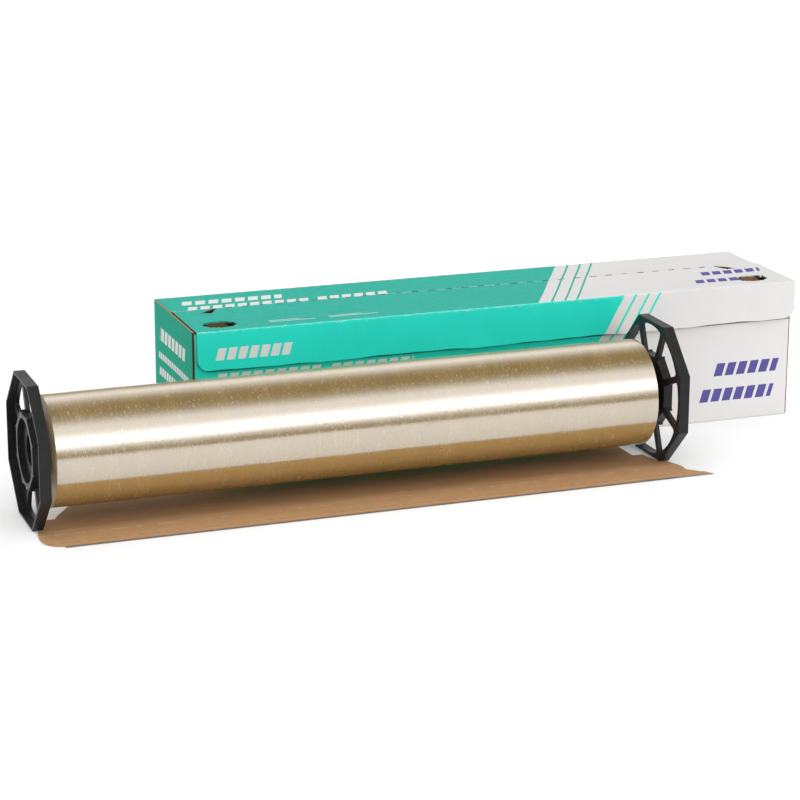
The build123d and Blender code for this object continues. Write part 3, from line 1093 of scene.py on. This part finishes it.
def make_floor():
    size = 16.0
    mesh = bpy.data.meshes.new("studio_floor")
    corners = [(-size, -size, 0), (size, -size, 0), (size, size, 0), (-size, size, 0)]
    mesh.from_pydata(corners, [], [(0, 1, 2, 3)])
    floor = bpy.data.objects.new("studio_floor", mesh)
    bpy.context.scene.collection.objects.link(floor)
    floor.location.z = -0.0002
    n = Nodes("studio_floor_paint")
    near = n.mix(n.span(n.noise(1.5, 1.5, 1.5), 0.3, 0.7), (0.92, 0.92, 0.92), (0.94, 0.94, 0.94))
    far = n.span(n.axis("Y"), -1.0, -2.6, 0.0, 1.0)
    n.set("Base Color", n.mix(far, near, (0.42, 0.42, 0.42)))
    n.set("Roughness", 0.9)
    n.set("Specular IOR Level", 0.0)
    n.set("Emission Color", n.mix(far, (1.0, 1.0, 1.0), (0.0, 0.0, 0.0)))
    n.set("Emission Strength", 0.10)
    mesh.materials.append(n.material)


# Brightness of the studio by angle from the front horizon over the top to the back, in degrees:
# the strip the roll mirrors, and the softer light on both sides of it
STRIP = [(0, 0.22), (6, 0.32), (13, 0.95), (19, 2.2), (24, 2.8), (36, 2.7), (42, 1.75), (50, 1.35), (60, 1.3),
         (68, 0.85), (78, 0.30), (90, 0.10), (106, 0.10), (118, 0.30), (130, 0.85), (144, 1.5), (156, 1.1),
         (164, 0.5), (180, 0.35)]
FILL = [(0, 0.8), (30, 1.1), (60, 1.5), (90, 1.9), (120, 1.7), (150, 0.9), (180, 0.5)]
FILL_SHARE = [(-1.0, 1.0), (-0.05, 1.0), (0.14, 0.0), (0.50, 0.0), (0.68, 1.0), (1.0, 1.0)]
SIDE_LEVEL = [(-1.0, 0.42), (-0.2, 0.95), (0.2, 1.0), (1.0, 1.0)]


def world_ramp(tree, source, low, high, stops):
    """Colour ramp through (position, level) pairs, in grey, and the level that its white stands for."""
    top = max(level for _, level in stops)
    spread = tree.nodes.new("ShaderNodeMapRange")
    tree.links.new(source, spread.inputs["Value"])
    spread.inputs["From Min"].default_value = low
    spread.inputs["From Max"].default_value = high
    ramp = tree.nodes.new("ShaderNodeValToRGB")
    tree.links.new(spread.outputs[0], ramp.inputs[0])
    marks = ramp.color_ramp.elements
    marks[0].position, marks[1].position = 0.0, 1.0
    for place, (value, level) in enumerate(stops):
        if place == 0:
            mark = marks[0]
        elif place == len(stops) - 1:
            mark = marks[len(marks) - 1]
        else:
            mark = marks.new((value - low) / (high - low))
        mark.color = (level / top,) * 3 + (1.0,)
    return ramp.outputs[0], top


def world_math(tree, operation, *values):
    node = tree.nodes.new("ShaderNodeMath")
    node.operation = operation
    for socket, value in zip(node.inputs, values):
        if isinstance(value, (int, float)):
            socket.default_value = value
        else:
            tree.links.new(value, socket)
    return node.outputs[0]


def make_world():
    world = bpy.data.worlds.new("studio_light")
    bpy.context.scene.world = world
    world.use_nodes = True
    tree = world.node_tree
    coords = tree.nodes.new("ShaderNodeTexCoord")
    parts = tree.nodes.new("ShaderNodeSeparateXYZ")
    tree.links.new(coords.outputs["Generated"], parts.inputs[0])
    forward = world_math(tree, "MULTIPLY", parts.outputs["Y"], -1.0)
    angle = world_math(tree, "ARCTAN2", parts.outputs["Z"], forward)
    angle = world_math(tree, "MULTIPLY", angle, 180 / pi)
    strip, strip_top = world_ramp(tree, angle, 0, 180, STRIP)
    fill, fill_top = world_ramp(tree, angle, 0, 180, FILL)
    share, _ = world_ramp(tree, parts.outputs["X"], -1, 1, FILL_SHARE)
    side, _ = world_ramp(tree, parts.outputs["X"], -1, 1, SIDE_LEVEL)
    rest = world_math(tree, "SUBTRACT", 1.0, share)
    strip = world_math(tree, "MULTIPLY", world_math(tree, "MULTIPLY", strip, strip_top), rest)
    fill = world_math(tree, "MULTIPLY", world_math(tree, "MULTIPLY", fill, fill_top), share)
    level = world_math(tree, "MULTIPLY", world_math(tree, "ADD", strip, fill), side)
    tree.links.new(level, tree.nodes["Background"].inputs["Strength"])
    tree.nodes["Background"].inputs["Color"].default_value = (1.0, 1.0, 1.0, 1.0)


# Place in metres; yaw, pitch and roll in degrees; lens in millimetres on a 36 mm sensor
CAMERA_AT = (-0.91045, -2.3951, 0.8033)
CAMERA_TURN = (20.303, 16.191, -0.222)
CAMERA_LENS = 117.35


def make_camera():
    yaw, pitch, roll = (radians(a) for a in CAMERA_TURN)
    forward = Vector((sin(yaw) * cos(pitch), cos(yaw) * cos(pitch), -sin(pitch)))
    right = Vector((cos(yaw), -sin(yaw), 0))
    down = forward.cross(right)
    right_rolled = right * cos(roll) + down * sin(roll)
    down_rolled = right * -sin(roll) + down * cos(roll)
    turn = Matrix((right_rolled, -down_rolled, -forward)).transposed()
    data = bpy.data.cameras.new("camera")
    data.lens = CAMERA_LENS
    data.sensor_width = 36.0
    data.clip_start, data.clip_end = 0.05, 60.0
    camera = bpy.data.objects.new("camera", data)
    camera.matrix_world = Matrix.Translation(CAMERA_AT) @ turn.to_4x4()
    bpy.context.scene.collection.objects.link(camera)
    bpy.context.scene.camera = camera


make_floor()
make_world()
make_camera()
bpy.context.scene.view_settings.view_transform = "Standard"

bpy.context.view_layer.update()
